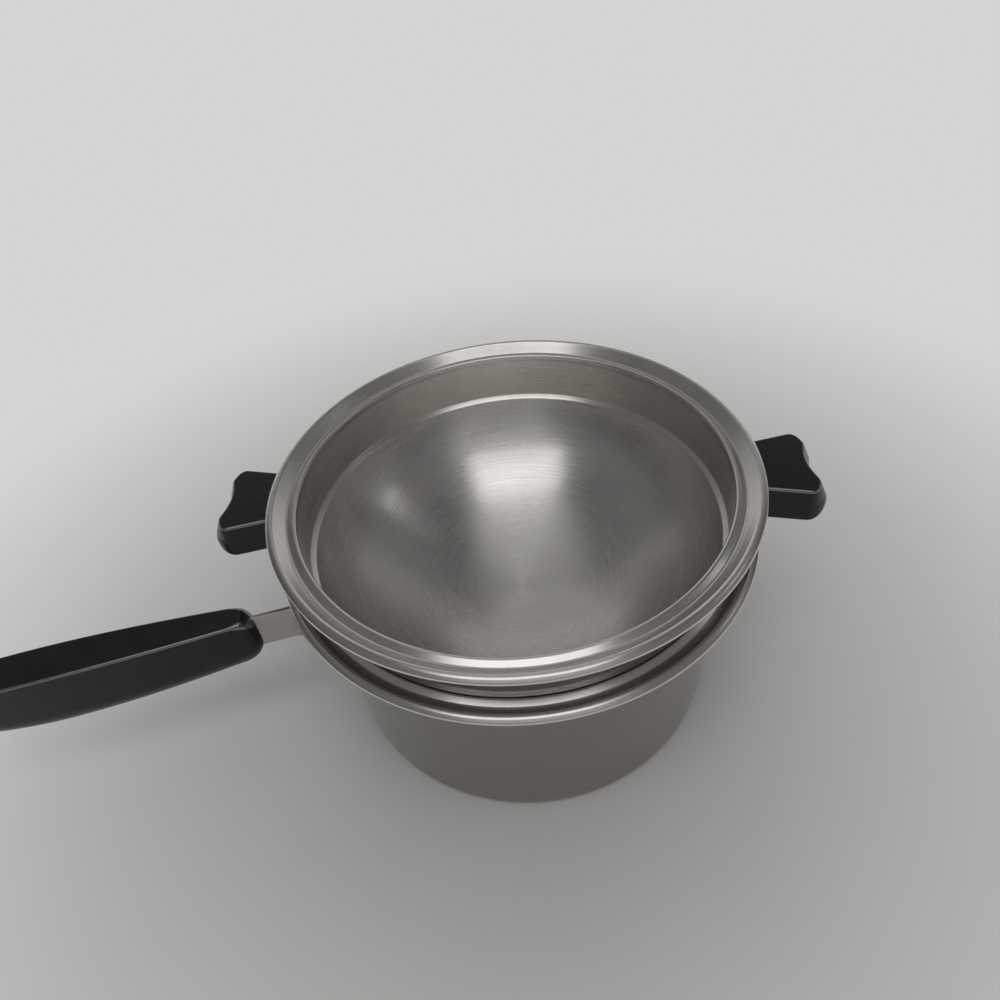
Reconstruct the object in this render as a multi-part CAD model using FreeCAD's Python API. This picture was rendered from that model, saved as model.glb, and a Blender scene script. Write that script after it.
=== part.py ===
"""Stovetop double boiler: a long-handled saucepan with a round-bottomed insert seated in its mouth.

Millimetres, +Z up. The origin is the centre of the saucepan's flat base, and the long handle runs along -X.
"""
import math
import os

import FreeCAD
import Part

# Saucepan
mouth_radius = 97.0          # inside radius at the top of the wall, the same on pan and insert
pan_height = 103.5           # base to the crest of the rim
pan_sheet = 1.2              # clad sheet
pan_base_radius = 94.1       # where the tapered outer wall would meet the base
base_corner = 5.0            # outer radius between wall and base

# Rim, rolled the same on pan and insert.
# From the mouth outwards: a bead, a groove for a lid, a riser, a flange and a rolled edge.
bead_run = 4.1               # mouth to the middle of the groove
bead_rise = 2.05             # corner of the bead above the groove
groove_run = 2.4             # outer side of the groove, up to the riser's foot
groove_rise = 1.75
riser_run = 1.8
riser_rise = 3.1
flange_run = 1.9             # crest out to the roll
flange_drop = 0.13
roll_run = 1.75              # rolled edge, down to the skirt
roll_drop = 1.1
skirt_drop = 2.6             # crest down to the free edge
lip_bend = 0.8               # bead into the wall
groove_bend = 1.6
foot_bend = 2.5
crest_bend = 1.2
roll_bend = 3.7
edge_bend = 0.8

# Insert
insert_sheet = 1.0
insert_band = 28.53           # crest of the rim down to the shoulder
shoulder_drop = 1.8
bowl_clearance = 1.0         # bowl to the pan's mouth, all round
seat_gap = 0.25              # shoulder to the pan's lip
bowl_depth = 51.0            # shoulder foot down to the middle of the bowl
bowl_wall_deg = 66.0         # slope of the bowl's side under the shoulder
bowl_knuckle_ratio = 1.2     # radius of the bowl's side over its depth
shoulder_bend = 1.0
insert_turn_deg = -13.3      # the ears' line, from +X: the insert may sit at any angle

# Ears on the insert
ear_drop = 6.7               # below the crest of the insert's rim
ear_thickness = 17.6
ear_root_half_width = 14.4   # at the root
ear_flare_deg = 12.0         # each side spreads outwards
ear_reach = 37.6             # insert wall to the tips, at mid-height
ear_corner_run = 4.2         # plan corners of the tips stand this far past their rounding
ear_waist = 6.0              # plan corners back to the corner of the concave outer edge
ear_waist_radius = 26.0
ear_tip_radius = 8.0         # plan corners of the tips
ear_lean = 4.0               # the outer edge leans in from mid-height to the top
ear_under_radius = 9.0       # rounded lower outer edge
ear_edge = 1.1               # rounded upper edges
ear_gap = 0.3                # root to the bracket's foot
ear_foot_sheet = 1.5
ear_foot_width = 26.0
ear_foot_height = 13.0
tongue_width = 16.0
tongue_thickness = 2.5
tongue_reach = 24.0          # insert wall to the end of the tongue
tongue_fit = 0.2             # slot round the tongue
ear_screw_reach = 16.0       # insert wall to the screw
weld_gap = 0.05              # spot-welded feet to their walls

# Screws: round heads with a driver slot
screw_radius = 1.95
thread_radius = 2.0          # tapped holes and bushes
screw_hole_radius = 2.2      # clearance holes
head_radius = 3.6
head_height = 2.4
driver_slot_width = 1.0
driver_slot_depth = 1.1
recess_radius = 4.3          # counterbore round a head
recess_depth = 3.6
screw_end = 1.5              # screw past the tongue
washer_radius = 3.9
washer_thickness = 0.8

# Long handle
blade_thickness = 2.2
blade_top = 76.2             # above the base
blade_height = 20.2
blade_flare = 9.0            # the lower edge spreads down to the foot
blade_flare_run = 17.0
handle_foot_sheet = 1.6
handle_foot_width = 34.0
handle_foot_margin = 3.0     # foot above and below the blade's root
grip_start = 131.5           # from the pan's axis to the grip's nose
grip_length = 161.0
grip_neck_half_width = 6.0   # at the nose
grip_palm_half_width = 10.4  # at its widest
grip_butt_half_width = 8.6   # at the hang hole
grip_neck_top = 79.0
grip_palm_top = 80.5
grip_butt_top = 78.5
grip_neck_bottom = 49.5
grip_palm_bottom = 43.0
grip_butt_bottom = 54.0
grip_palm_at = 95.0          # nose to the widest place
grip_edge = 1.2              # crisp upper edges
grip_under_share = 0.85      # rounding of the underside over the half width
grip_nose_top_radius = 6.2   # nose, seen from the side
grip_nose_under_radius = 11.0
grip_nose_plan_radius = 5.6  # nose, seen from above
grip_butt_radius = 10.5
grip_butt_plan_radius = 8.0
grip_overrun = 1.0           # sections past the nose and butt that the end roundings trim
grip_trim_clear = 6.0        # outlines of the end roundings stand this clear of the palm
slot_fit = 0.2               # slot round the blade
tang_length = 72.0           # blade inside the grip
grip_screw_first = 26.0      # nose to the first cross screw
grip_screw_pitch = 28.0
grip_screw_seat = 3.2        # slot to the floor of the head's recess
bush_radius = 3.1
bush_length = 3.6
bush_fit = 0.05
hang_hole_radius = 4.5
hang_hole_inset = 15.0       # butt end to the hole
hang_hole_wall = 13.0        # straight part of the hole
hang_hole_flare_deg = 40.0

# Worked-out places
pan_wall_mid = mouth_radius + pan_sheet / 2
insert_wall_mid = mouth_radius + insert_sheet / 2
insert_wall_outside = mouth_radius + insert_sheet
bowl_foot_mid = mouth_radius - bowl_clearance - insert_sheet / 2
shoulder_run = insert_wall_mid - bowl_foot_mid
grip_end = grip_start + grip_length
blade_bottom = blade_top - blade_height
grip_screw_z = blade_top - blade_height / 2


def vec(x, y, z):
    return FreeCAD.Vector(x, y, z)


def unit(a, b):
    length = math.hypot(b[0] - a[0], b[1] - a[1])
    return (b[0] - a[0]) / length, (b[1] - a[1]) / length


def bend_geometry(before, corner, after, radius):
    """Start, middle, end and centre of the arc that rounds a corner."""
    d1 = unit(before, corner)
    d2 = unit(corner, after)
    turn = math.atan2(d1[0] * d2[1] - d1[1] * d2[0], d1[0] * d2[0] + d1[1] * d2[1])
    tangent = radius * math.tan(abs(turn) / 2)
    start = (corner[0] - d1[0] * tangent, corner[1] - d1[1] * tangent)
    end = (corner[0] + d2[0] * tangent, corner[1] + d2[1] * tangent)
    inward = math.hypot(d2[0] - d1[0], d2[1] - d1[1])
    way = ((d2[0] - d1[0]) / inward, (d2[1] - d1[1]) / inward)
    reach = radius / math.cos(turn / 2)
    centre = (corner[0] + way[0] * reach, corner[1] + way[1] * reach)
    middle = (centre[0] - way[0] * radius, centre[1] - way[1] * radius)
    return start, middle, end, centre


def rounded_wire(corners, place):
    """A closed outline of (a, b, radius) corners, with place(a, b) giving the point in space."""
    count = len(corners)
    pieces = []
    for i in range(count):
        a, b, radius = corners[i]
        if radius > 0:
            before = corners[i - 1]
            after = corners[(i + 1) % count]
            start, middle, end, _ = bend_geometry(before, (a, b), after, radius)
            pieces.append((start, middle, end))
        else:
            pieces.append(((a, b), None, (a, b)))
    edges = []
    for i in range(count):
        start, middle, end = pieces[i]
        if middle:
            edges.append(Part.Arc(place(*start), place(*middle), place(*end)).toShape())
        following = pieces[(i + 1) % count][0]
        if math.hypot(following[0] - end[0], following[1] - end[1]) > 1e-6:
            edges.append(Part.LineSegment(place(*end), place(*following)).toShape())
    return Part.Wire(edges)


def sheet_side(path, thickness, side):
    """One face of a bent sheet: the middle line moved half the thickness, to the left for side 1."""
    half = thickness / 2
    moved = []
    for i, (a, b, bend) in enumerate(path):
        ways = []
        if i > 0:
            ways.append(unit(path[i - 1], path[i]))
        if i < len(path) - 1:
            ways.append(unit(path[i], path[i + 1]))
        normals = [(-w[1], w[0]) for w in ways]
        first, last = normals[0], normals[-1]
        share = half * side / (1 + first[0] * last[0] + first[1] * last[1])
        radius = 0.0
        if bend > 0:
            turn = ways[0][0] * ways[1][1] - ways[0][1] * ways[1][0]
            radius = bend - side * math.copysign(half, turn)
        moved.append((a + share * (first[0] + last[0]), b + share * (first[1] + last[1]), radius))
    return moved


def spun_sheet(path, thickness):
    """A sheet of even thickness turned about Z, from its middle line of (radius, height, bend)."""
    outline = sheet_side(path, thickness, 1) + sheet_side(path, thickness, -1)[::-1]
    wire = rounded_wire(outline, lambda r, z: vec(r, 0, z))
    return Part.Face(wire).revolve(vec(0, 0, 0), vec(0, 0, 1), 360)


def rim_path(wall_mid, crest, thickness):
    """Middle line of the rim, from its free edge in to the wall, with its highest bend at the crest."""
    groove_r = wall_mid + bead_run
    foot_r = groove_r + groove_run
    crest_r = foot_r + riser_run
    roll_r = crest_r + flange_run
    edge_r = roll_r + roll_run
    crest_z = crest - thickness / 2
    roll_z = crest_z - flange_drop
    edge_z = roll_z - roll_drop
    foot_z = crest_z - riser_rise
    _, _, _, centre = bend_geometry((roll_r, roll_z), (crest_r, crest_z), (foot_r, foot_z), crest_bend)
    lift = crest_z - crest_bend - centre[1]
    groove_z = foot_z - groove_rise + lift
    return [
        (edge_r, crest - skirt_drop, 0.0),
        (edge_r, edge_z + lift, edge_bend),
        (roll_r, roll_z + lift, roll_bend),
        (crest_r, crest_z + lift, crest_bend),
        (foot_r, foot_z + lift, foot_bend),
        (groove_r, groove_z, groove_bend),
        (wall_mid, groove_z + bead_rise, lip_bend),
    ]


def pan_path():
    corner_mid = base_corner - pan_sheet / 2
    base_mid = pan_base_radius - pan_sheet / 2
    return rim_path(pan_wall_mid, pan_height, pan_sheet) + [
        (base_mid, pan_sheet / 2, corner_mid),
        (0.0, pan_sheet / 2, 0.0),
    ]


def pan_wall_outside(z):
    """Outer radius of the tapered pan wall at a height."""
    path = pan_path()
    low, high = path[-2], path[-3]
    share = (z - low[1]) / (high[1] - low[1])
    return low[0] + share * (high[0] - low[0]) + pan_sheet / 2


def shoulder_height():
    """Height at which the insert's shoulder clears the pan's rounded lip by the seat gap."""
    path = pan_path()
    lip = path[-3]
    _, _, _, centre = bend_geometry(path[-4], lip, path[-2], lip_bend)
    slope = math.hypot(shoulder_run, shoulder_drop)
    across = (shoulder_drop / slope, -shoulder_run / slope)
    reach = lip_bend + pan_sheet / 2 + seat_gap + insert_sheet / 2
    return centre[1] - (reach - (centre[0] - insert_wall_mid) * across[0]) / across[1]


shoulder_z = shoulder_height()
insert_crest = shoulder_z + insert_band
ear_top = insert_crest - ear_drop
ear_bottom = ear_top - ear_thickness
ear_middle = ear_top - ear_thickness / 2


def bowl_corners(start):
    """Corners that two tangent arcs round: the bowl's side, then its bottom down to the axis."""
    slope = math.radians(bowl_wall_deg)
    knuckle = bowl_knuckle_ratio * bowl_depth
    bottom_z = shoulder_z - shoulder_drop - bowl_depth
    centre_r = start[0] - knuckle * math.sin(slope)
    centre_z = start[1] + knuckle * math.cos(slope)
    above = centre_z - bottom_z
    bottom_radius = (centre_r ** 2 + above ** 2 - knuckle ** 2) / (2 * (above - knuckle))
    meet = math.asin(centre_r / (bottom_radius - knuckle))
    side_tangent = knuckle * math.tan((slope - meet) / 2)
    bottom_tangent = bottom_radius * math.tan(meet / 2)
    side = (start[0] - side_tangent * math.cos(slope), start[1] - side_tangent * math.sin(slope), knuckle)
    return [side, (bottom_tangent, bottom_z, bottom_radius), (0.0, bottom_z, 0.0)]


def make_insert():
    slope = math.radians(bowl_wall_deg)
    foot = (bowl_foot_mid, shoulder_z - shoulder_drop, shoulder_bend)
    bowl_start = (foot[0] - shoulder_bend * math.cos(slope), foot[1] - shoulder_bend * math.sin(slope))
    path = rim_path(insert_wall_mid, insert_crest, insert_sheet)
    path += [(insert_wall_mid, shoulder_z, shoulder_bend), foot]
    path += bowl_corners(bowl_start)
    return spun_sheet(path, insert_sheet)


def make_pan():
    return spun_sheet(pan_path(), pan_sheet)


def screw(length):
    """Round-headed screw along +Z with the underside of its head at the origin."""
    shank = Part.makeCylinder(screw_radius, length)
    head = Part.makeCylinder(head_radius, head_height, vec(0, 0, -head_height))
    crown = head.makeFillet(head_height / 2, [head.Edges[i] for i in rim_edges(head, -head_height)])
    groove = Part.makeBox(
        3 * head_radius, driver_slot_width, driver_slot_depth,
        vec(-1.5 * head_radius, -driver_slot_width / 2, -head_height))
    return crown.fuse(shank).removeSplitter().cut(groove)


def rim_edges(shape, z):
    """Numbers of the edges that lie at one height."""
    found = []
    for i, edge in enumerate(shape.Edges):
        box = edge.BoundBox
        if abs(box.ZMin - z) < 1e-4 and abs(box.ZMax - z) < 1e-4:
            found.append(i)
    return found


def wall_sector(corners, half_width, radius):
    """An outline in the radial plane, turned about Z as wide as a foot, centred on +X."""
    half_angle = math.degrees(half_width / radius)
    wire = rounded_wire(corners, lambda r, z: vec(r, 0, z))
    solid = Part.Face(wire).revolve(vec(0, 0, 0), vec(0, 0, 1), 2 * half_angle)
    solid.rotate(vec(0, 0, 0), vec(0, 0, 1), -half_angle)
    return solid


ear_foot_inside = insert_wall_outside + weld_gap
ear_foot_outside = ear_foot_inside + ear_foot_sheet
ear_screw_r = insert_wall_outside + ear_screw_reach
tongue_bottom = ear_middle - tongue_thickness / 2
tongue_top = ear_middle + tongue_thickness / 2
ear_recess_floor = ear_bottom + recess_depth
ear_root = ear_foot_outside + ear_gap
ear_tip = insert_wall_outside + ear_reach


def make_ear_bracket():
    """Curved foot on the insert's wall with a level tongue, tapped for the screw."""
    low = ear_middle - ear_foot_height / 2
    high = ear_middle + ear_foot_height / 2
    foot = wall_sector(
        [(ear_foot_inside, low, 0), (ear_foot_outside, low, 0),
         (ear_foot_outside, high, 0), (ear_foot_inside, high, 0)],
        ear_foot_width / 2, insert_wall_outside)
    start = ear_foot_inside + ear_foot_sheet / 2
    end = insert_wall_outside + tongue_reach
    tongue = Part.makeBox(
        end - start, tongue_width, tongue_thickness, vec(start, -tongue_width / 2, tongue_bottom))
    inner = Part.makeCylinder(ear_foot_inside, ear_thickness, vec(0, 0, ear_bottom))
    thread = Part.makeCylinder(thread_radius, tongue_thickness, vec(ear_screw_r, 0, tongue_bottom))
    return foot.fuse(tongue.cut(inner)).removeSplitter().cut(thread)


def ear_plan(z, lean):
    """Plan outline of an ear at one height: flared sides, rounded tips and a concave outer edge."""
    corner = ear_tip + ear_corner_run - lean
    corner_half = ear_root_half_width + (corner - ear_foot_inside) * math.tan(math.radians(ear_flare_deg))
    corners = [
        (ear_foot_inside, -ear_root_half_width, 0.0),
        (corner, -corner_half, ear_tip_radius),
        (corner - ear_waist, 0.0, ear_waist_radius),
        (corner, corner_half, ear_tip_radius),
        (ear_foot_inside, ear_root_half_width, 0.0),
    ]
    return rounded_wire(corners, lambda u, v: vec(u, v, z))


def make_ear():
    """Moulded ear: leaning upper half, rounded under its outer edge, hollowed for tongue, foot and screw."""
    lower = Part.Face(ear_plan(ear_bottom, 0.0)).extrude(vec(0, 0, ear_thickness / 2))
    upper = Part.makeLoft([ear_plan(ear_middle, 0.0), ear_plan(ear_top, ear_lean)], True, True)
    block = lower.fuse(upper).removeSplitter()
    width = 2 * (ear_root_half_width + ear_reach)
    side = rounded_wire(
        [(ear_foot_inside, ear_bottom, 0), (ear_tip, ear_bottom, ear_under_radius),
         (ear_tip, ear_top, 0), (ear_foot_inside, ear_top, 0)],
        lambda u, z: vec(u, -width / 2, z))
    block = block.common(Part.Face(side).extrude(vec(0, width, 0)))
    block = block.cut(Part.makeCylinder(ear_root, ear_thickness, vec(0, 0, ear_bottom)))
    top_edges = [block.Edges[i] for i in rim_edges(block, ear_top)]
    block = block.makeFillet(ear_edge, [e for e in top_edges if e.BoundBox.XMax > ear_root + ear_edge])
    slot = Part.makeBox(
        tongue_reach + tongue_fit, tongue_width + 2 * tongue_fit, tongue_thickness + 2 * tongue_fit,
        vec(insert_wall_outside, -tongue_width / 2 - tongue_fit, tongue_bottom - tongue_fit))
    hole = Part.makeCylinder(
        screw_hole_radius, tongue_top + 2 * screw_end - ear_bottom, vec(ear_screw_r, 0, ear_bottom))
    recess = Part.makeCylinder(recess_radius, recess_depth, vec(ear_screw_r, 0, ear_bottom))
    return block.cut(slot).cut(hole).cut(recess)


def make_ear_washer():
    outer = Part.makeCylinder(washer_radius, washer_thickness)
    washer = outer.cut(Part.makeCylinder(screw_hole_radius, washer_thickness))
    washer.translate(vec(ear_screw_r, 0, ear_recess_floor - washer_thickness))
    return washer


def make_ear_screw():
    seat = ear_recess_floor - washer_thickness
    body = screw(tongue_top + screw_end - seat)
    body.translate(vec(ear_screw_r, 0, seat))
    return body


def make_handle_bracket():
    """Blade on edge, spread downwards at its root, with a foot that follows the pan's wall."""
    low = blade_bottom - blade_flare - handle_foot_margin
    high = blade_top + handle_foot_margin
    inside_low = pan_wall_outside(low) + weld_gap
    inside_high = pan_wall_outside(high) + weld_gap
    foot = wall_sector(
        [(inside_low, low, 0), (inside_low + handle_foot_sheet, low, 0),
         (inside_high + handle_foot_sheet, high, 0), (inside_high, high, 0)],
        handle_foot_width / 2, inside_high)
    foot.rotate(vec(0, 0, 0), vec(0, 0, 1), 180)
    root = pan_wall_outside(blade_bottom) + handle_foot_sheet / 2
    root_low = pan_wall_outside(blade_bottom - blade_flare) + handle_foot_sheet / 2
    root_high = pan_wall_outside(blade_top) + handle_foot_sheet / 2
    end = grip_start + tang_length
    bend = 2 * blade_flare
    outline = [
        (-root_high, blade_top, 0.0),
        (-root_low, blade_bottom - blade_flare, 0.0),
        (-root - blade_flare_run, blade_bottom, bend),
        (-end, blade_bottom, blade_height / 4),
        (-end, blade_top, blade_height / 4),
    ]
    wire = rounded_wire(outline, lambda x, z: vec(x, -blade_thickness / 2, z))
    blade = Part.Face(wire).extrude(vec(0, blade_thickness, 0))
    bracket = foot.fuse(blade).removeSplitter()
    for x in grip_screw_places():
        hole = Part.makeCylinder(
            screw_hole_radius, 2 * blade_thickness, vec(x, -blade_thickness, grip_screw_z), vec(0, 1, 0))
        bracket = bracket.cut(hole)
    return bracket


def grip_screw_places():
    first = grip_start + grip_screw_first
    return [-first, -first - grip_screw_pitch]


def grip_stations():
    """Distance from the nose, half width, top and bottom of the grip's sections."""
    return [
        (-grip_overrun, grip_neck_half_width, grip_neck_top, grip_neck_bottom),
        (grip_palm_at / 2, (grip_neck_half_width + grip_palm_half_width) / 2,
         (grip_neck_top + grip_palm_top) / 2, (grip_neck_bottom + grip_palm_bottom) / 2),
        (grip_palm_at, grip_palm_half_width, grip_palm_top, grip_palm_bottom),
        (grip_length + grip_overrun, grip_butt_half_width, grip_butt_top, grip_butt_bottom),
    ]


def grip_section(distance, half, top, bottom):
    """Flat-topped section with crisp upper edges and a rounded underside."""
    x = -(grip_start + distance)
    corners = [
        (-half, top, grip_edge),
        (-half, bottom, grip_under_share * half),
        (half, bottom, grip_under_share * half),
        (half, top, grip_edge),
    ]
    return rounded_wire(corners, lambda y, z: vec(x, y, z))


def make_grip():
    """Moulded grip that swells to the palm, rounded at nose and butt, slotted for the blade."""
    body = Part.makeLoft([grip_section(*station) for station in grip_stations()], True, False)
    nose, butt = -grip_start, -grip_end
    palm = nose - grip_palm_at
    palm_half = grip_palm_half_width + grip_trim_clear
    low = grip_palm_bottom - grip_trim_clear
    high = grip_palm_top + grip_trim_clear
    side_outline = [
        (nose, grip_neck_bottom, grip_nose_under_radius),
        (nose, grip_neck_top, grip_nose_top_radius),
        (palm, high, 0.0),
        (butt, grip_butt_top, grip_butt_radius),
        (butt, grip_butt_bottom, grip_butt_radius),
        (palm, low, 0.0),
    ]
    side = rounded_wire(side_outline, lambda x, z: vec(x, -2 * palm_half, z))
    body = body.common(Part.Face(side).extrude(vec(0, 4 * palm_half, 0)))
    plan_outline = [
        (nose, -grip_neck_half_width, grip_nose_plan_radius),
        (nose, grip_neck_half_width, grip_nose_plan_radius),
        (palm, palm_half, 0.0),
        (butt, grip_butt_half_width, grip_butt_plan_radius),
        (butt, -grip_butt_half_width, grip_butt_plan_radius),
        (palm, -palm_half, 0.0),
    ]
    plan = rounded_wire(plan_outline, lambda x, y: vec(x, y, low - grip_length))
    body = body.common(Part.Face(plan).extrude(vec(0, 0, high - low + 2 * grip_length)))
    slot_half = blade_thickness / 2 + slot_fit
    slot = Part.makeBox(
        tang_length + slot_fit, 2 * slot_half, blade_height + 2 * slot_fit,
        vec(nose - tang_length - slot_fit, -slot_half, blade_bottom - slot_fit))
    body = body.cut(slot)
    for x in grip_screw_places():
        body = body.cut(grip_screw_cut(x, slot_half))
    return body.cut(hang_hole_cut())


def grip_screw_cut(x, slot_half):
    """Recess and hole from the far side, and the pocket of the threaded bush on the near side."""
    z = grip_screw_z
    seat = slot_half + grip_screw_seat
    hole = Part.makeCylinder(screw_hole_radius, seat + slot_half, vec(x, -slot_half, z), vec(0, 1, 0))
    recess = Part.makeCylinder(recess_radius, 2 * grip_palm_half_width, vec(x, seat, z), vec(0, 1, 0))
    pocket = Part.makeCylinder(
        bush_radius + bush_fit, bush_length + bush_fit, vec(x, -slot_half, z), vec(0, -1, 0))
    return hole.fuse(recess).fuse(pocket)


def hang_hole_cut():
    """Hole across the butt end, flared at both mouths."""
    x = -grip_end + hang_hole_inset
    z = (grip_butt_top + grip_butt_bottom) / 2
    half = hang_hole_wall / 2
    depth = grip_palm_half_width
    flared = hang_hole_radius + depth * math.tan(math.radians(hang_hole_flare_deg))
    cut = Part.makeCylinder(hang_hole_radius, hang_hole_wall, vec(x, -half, z), vec(0, 1, 0))
    for way in (-1, 1):
        cone = Part.makeCone(
            hang_hole_radius, flared, depth, vec(x, way * half, z), vec(0, way, 0))
        cut = cut.fuse(cone)
    return cut


def make_handle_screws():
    seat = blade_thickness / 2 + slot_fit + grip_screw_seat
    length = seat + blade_thickness / 2 + slot_fit + bush_length
    screws = []
    for x in grip_screw_places():
        body = screw(length)
        body.rotate(vec(0, 0, 0), vec(1, 0, 0), 90)
        body.translate(vec(x, seat, grip_screw_z))
        screws.append(body)
    return Part.makeCompound(screws)


def make_handle_inserts():
    start = blade_thickness / 2 + slot_fit
    bushes = []
    for x in grip_screw_places():
        base = vec(x, -start, grip_screw_z)
        bush = Part.makeCylinder(bush_radius, bush_length, base, vec(0, -1, 0))
        bushes.append(bush.cut(Part.makeCylinder(thread_radius, bush_length, base, vec(0, -1, 0))))
    return Part.makeCompound(bushes)


def turned(shape, degrees):
    copy = shape.copy()
    copy.rotate(vec(0, 0, 0), vec(0, 0, 1), degrees)
    return copy


def main():
    os.makedirs("parts", exist_ok=True)
    nodes = {
        "saucepan_body": make_pan(),
        "handle_bracket": make_handle_bracket(),
        "handle_grip": make_grip(),
        "handle_screws": make_handle_screws(),
        "handle_inserts": make_handle_inserts(),
        "insert_bowl": make_insert(),
    }
    ear_pieces = {
        "ear_bracket": make_ear_bracket(),
        "ear_handle": make_ear(),
        "ear_washer": make_ear_washer(),
        "ear_screw": make_ear_screw(),
    }
    for side, degrees in (("right", insert_turn_deg), ("left", insert_turn_deg + 180)):
        for name, shape in ear_pieces.items():
            nodes[name + "_" + side] = turned(shape, degrees)
    for name, shape in nodes.items():
        shape.exportStep("parts/" + name + ".step")
        solids = len(shape.Solids)
        print("%s: %d solid(s), %.0f mm3, valid %s" % (name, solids, shape.Volume, shape.isValid()))
    print("shoulder at %.2f, insert crest at %.2f" % (shoulder_z, insert_crest))


main()
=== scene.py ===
# Double boiler: polished saucepan, spun round-bottomed insert, black moulded grip and ears.
import math

import bpy
import numpy as np
from mathutils import Matrix, Vector


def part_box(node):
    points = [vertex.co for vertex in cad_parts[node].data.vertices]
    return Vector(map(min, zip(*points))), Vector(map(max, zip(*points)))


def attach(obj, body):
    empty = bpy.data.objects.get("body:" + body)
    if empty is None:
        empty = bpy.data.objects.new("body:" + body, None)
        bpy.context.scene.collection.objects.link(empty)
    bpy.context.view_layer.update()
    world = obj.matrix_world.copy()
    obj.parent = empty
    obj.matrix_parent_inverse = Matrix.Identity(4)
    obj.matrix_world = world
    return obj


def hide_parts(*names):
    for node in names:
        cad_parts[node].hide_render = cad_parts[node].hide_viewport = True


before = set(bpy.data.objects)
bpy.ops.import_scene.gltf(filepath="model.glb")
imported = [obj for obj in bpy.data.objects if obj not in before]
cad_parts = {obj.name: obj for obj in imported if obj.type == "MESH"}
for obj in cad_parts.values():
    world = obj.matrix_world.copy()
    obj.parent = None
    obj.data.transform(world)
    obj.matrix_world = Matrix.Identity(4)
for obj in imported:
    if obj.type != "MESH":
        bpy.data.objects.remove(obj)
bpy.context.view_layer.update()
mm = 0.001
bendSteps = 9
mergeDigits = 4


# Corners (across, up, bend) to a line of points: straight runs, with an arc of steps points at each bend.
def bentLine(corners, steps=bendSteps, closed=False):
    parts = []
    for i, (across, up, bend) in enumerate(corners):
        here = np.array((across, up), float)
        if bend <= 0 or not (closed or 0 < i < len(corners) - 1):
            parts.append(here[None])
            continue
        before = np.array(corners[i - 1][:2], float)
        after = np.array(corners[(i + 1) % len(corners)][:2], float)
        wayIn = (here - before) / np.linalg.norm(here - before)
        wayOut = (after - here) / np.linalg.norm(after - here)
        turn = math.atan2(wayIn[0] * wayOut[1] - wayIn[1] * wayOut[0], wayIn @ wayOut)
        start = here - wayIn * bend * math.tan(abs(turn) / 2)
        centre = start + math.copysign(bend, turn) * np.array((-wayIn[1], wayIn[0]))
        angle = np.linspace(0, turn, steps)
        arm = start - centre
        parts.append(centre + np.c_[np.cos(angle) * arm[0] - np.sin(angle) * arm[1],
                                    np.sin(angle) * arm[0] + np.cos(angle) * arm[1]])
    return np.vstack(parts)


# The same line, with every run cut into equal lengths of at most step.
def spreadLine(line, step, closed=False):
    ends = np.roll(line, -1, axis=0) if closed else line[1:]
    starts = line if closed else line[:-1]
    counts = np.maximum(np.ceil(np.linalg.norm(ends - starts, axis=1) / step).astype(int), 1)
    run = np.repeat(np.arange(len(starts)), counts)
    share = (np.arange(len(run)) - np.repeat(np.cumsum(counts) - counts, counts)) / counts[run]
    made = starts[run] + share[:, None] * (ends - starts)[run]
    return made if closed else np.vstack([made, line[-1:]])


def smoothStep(value, low, high):
    t = np.clip((value - low) / (high - low), 0, 1)
    return t * t * (3 - 2 * t)


def lengthAlong(line):
    return np.concatenate([[0], np.cumsum(np.linalg.norm(np.diff(line, axis=0), axis=1))])


# Unit tangents of a line, weighted by the length of the runs on either side.
def tangents(line, closed=False):
    if closed:
        way = np.roll(line, -1, axis=0) - np.roll(line, 1, axis=0)
    else:
        way = np.vstack([line[1:2] - line[:1], line[2:] - line[:-2], line[-1:] - line[-2:-1]])
    return way / np.linalg.norm(way, axis=1)[:, None]


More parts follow.
